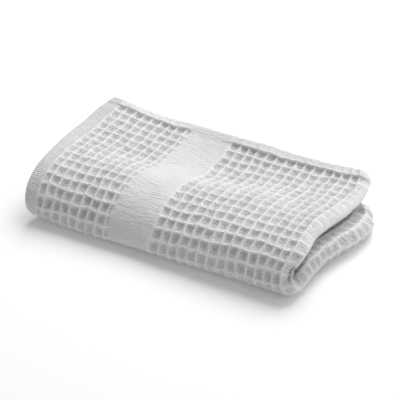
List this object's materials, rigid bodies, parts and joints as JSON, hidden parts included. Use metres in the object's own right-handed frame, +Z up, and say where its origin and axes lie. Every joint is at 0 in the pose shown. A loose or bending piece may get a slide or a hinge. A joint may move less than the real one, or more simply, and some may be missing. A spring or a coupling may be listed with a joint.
{
  "type": "guest towel",
  "caption": "Folded cotton guest towel of waffle weave with a plain woven band, plain end borders and stitched side hems, lying flat with its folds at the front and right.",
  "frame": {"origin": "middle of the towel's bounding box, on the surface it lies on", "axes": "+X along the folded towel to its crosswise fold, +Y from the long front fold to the side hems at the back, +Z up"},
  "size_m": [0.2634, 0.15, 0.0438],
  "materials": {
    "waffle_cotton": "light grey combed cotton in a matt waffle weave"
  },
  "bodies": {
    "root": {"towel": "waffle_cotton"}
  },
  "joints": []
}
